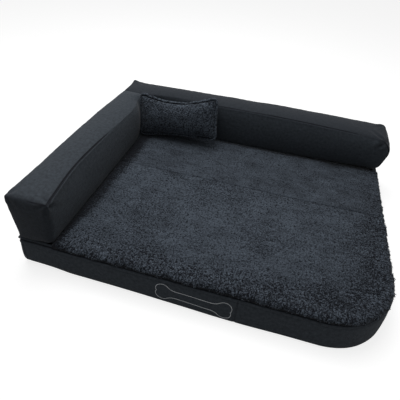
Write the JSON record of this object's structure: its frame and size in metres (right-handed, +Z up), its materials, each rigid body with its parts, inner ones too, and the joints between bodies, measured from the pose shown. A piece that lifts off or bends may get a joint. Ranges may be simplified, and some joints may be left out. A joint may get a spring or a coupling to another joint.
{
  "type": "orthopedic pet bed",
  "caption": "Low corner sofa bed for a pet: foam base with a plush top and one round corner, left and back bolsters, loose pillow.",
  "frame": {"origin": "on the floor, under the middle of the base", "axes": "+X to the right along the front edge, +Y to the back bolster, +Z up"},
  "size_m": [1.0036, 0.8064, 0.2864],
  "materials": {
    "canvas": "matte",
    "plush": "matte",
    "grip": "matte",
    "support_foam": "matte",
    "memory_foam": "matte",
    "bolster_foam": "matte",
    "liner": "satin",
    "wadding": "matte",
    "zip_tape": "matte",
    "zip_coil": "satin",
    "zip_metal": "satin",
    "thread": "matte",
    "hook_tape": "matte",
    "loop_tape": "matte"
  },
  "bodies": {
    "bed": {"base_band_left": "canvas", "base_band_front_left": "canvas", "base_band_front_right": "canvas", "base_band_rear_lower": "canvas", "base_band_rear_upper": "canvas", "base_deck_panel": "canvas", "base_grip_panel": "grip", "base_support_foam": "support_foam", "base_memory_foam": "memory_foam", "base_liner": "liner", "plush_top_front": "plush", "plush_top_rear": "plush", "bone_embroidery": "thread", "base_zip_tape": "zip_tape", "base_zip_coil": "zip_coil", "base_zip_stops": "zip_metal", "left_bolster_zip_tape": "zip_tape", "left_bolster_zip_coil": "zip_coil", "left_bolster_zip_stops": "zip_metal", "back_bolster_zip_tape": "zip_tape", "back_bolster_zip_coil": "zip_coil", "back_bolster_zip_stops": "zip_metal", "left_bolster_core": "bolster_foam", "left_bolster_wadding": "wadding", "left_bolster_top_panel": "canvas", "left_bolster_inner_panel": "canvas", "left_bolster_front_cap": "canvas", "left_bolster_rear_cap": "canvas", "left_bolster_flange": "canvas", "left_bolster_hook_strips": "hook_tape", "left_bolster_loop_strips": "loop_tape", "back_bolster_core": "bolster_foam", "back_bolster_wadding": "wadding", "back_bolster_top_panel": "canvas", "back_bolster_inner_panel": "canvas", "back_bolster_left_cap": "canvas", "back_bolster_right_cap": "canvas", "back_bolster_flange": "canvas", "back_bolster_hook_strips": "hook_tape", "back_bolster_loop_strips": "loop_tape"},
    "pillow": {"pillow_filling": "wadding", "pillow_front_panel": "plush", "pillow_back_panel": "plush"},
    "base_slider_body": {"base_zip_slider": "zip_metal"},
    "base_pull_body": {"base_zip_pull": "zip_metal"},
    "left_bolster_slider_body": {"left_bolster_zip_slider": "zip_metal"},
    "left_bolster_pull_body": {"left_bolster_zip_pull": "zip_metal"},
    "back_bolster_slider_body": {"back_bolster_zip_slider": "zip_metal"},
    "back_bolster_pull_body": {"back_bolster_zip_pull": "zip_metal"}
  },
  "joints": [
    {"name": "pillow_lift", "type": "slide", "parent": "bed", "child": "pillow", "axis": [0, 0, 1], "range_m": [0, 0.25]},
    {"name": "base_zip_run", "type": "slide", "parent": "bed", "child": "base_slider_body", "axis": [-1, 0, 0], "range_m": [0, 0.645]},
    {"name": "base_zip_pull_swing", "type": "hinge", "parent": "base_slider_body", "child": "base_pull_body", "pos_m": [0.3225, 0.4037, 0.048], "axis": [0, 0, -1], "range_deg": [0, 175]},
    {"name": "left_bolster_zip_run", "type": "slide", "parent": "bed", "child": "left_bolster_slider_body", "axis": [0, 1, 0], "range_m": [0, 0.5276]},
    {"name": "left_bolster_zip_pull_swing", "type": "hinge", "parent": "left_bolster_slider_body", "child": "left_bolster_pull_body", "pos_m": [-0.5017, -0.3185, 0.133], "axis": [0, 0, 1], "range_deg": [0, 175]},
    {"name": "back_bolster_zip_run", "type": "slide", "parent": "bed", "child": "back_bolster_slider_body", "axis": [1, 0, 0], "range_m": [0, 0.831]},
    {"name": "back_bolster_zip_pull_swing", "type": "hinge", "parent": "back_bolster_slider_body", "child": "back_bolster_pull_body", "pos_m": [-0.4205, 0.4017, 0.133], "axis": [0, 0, 1], "range_deg": [0, 175]}
  ]
}
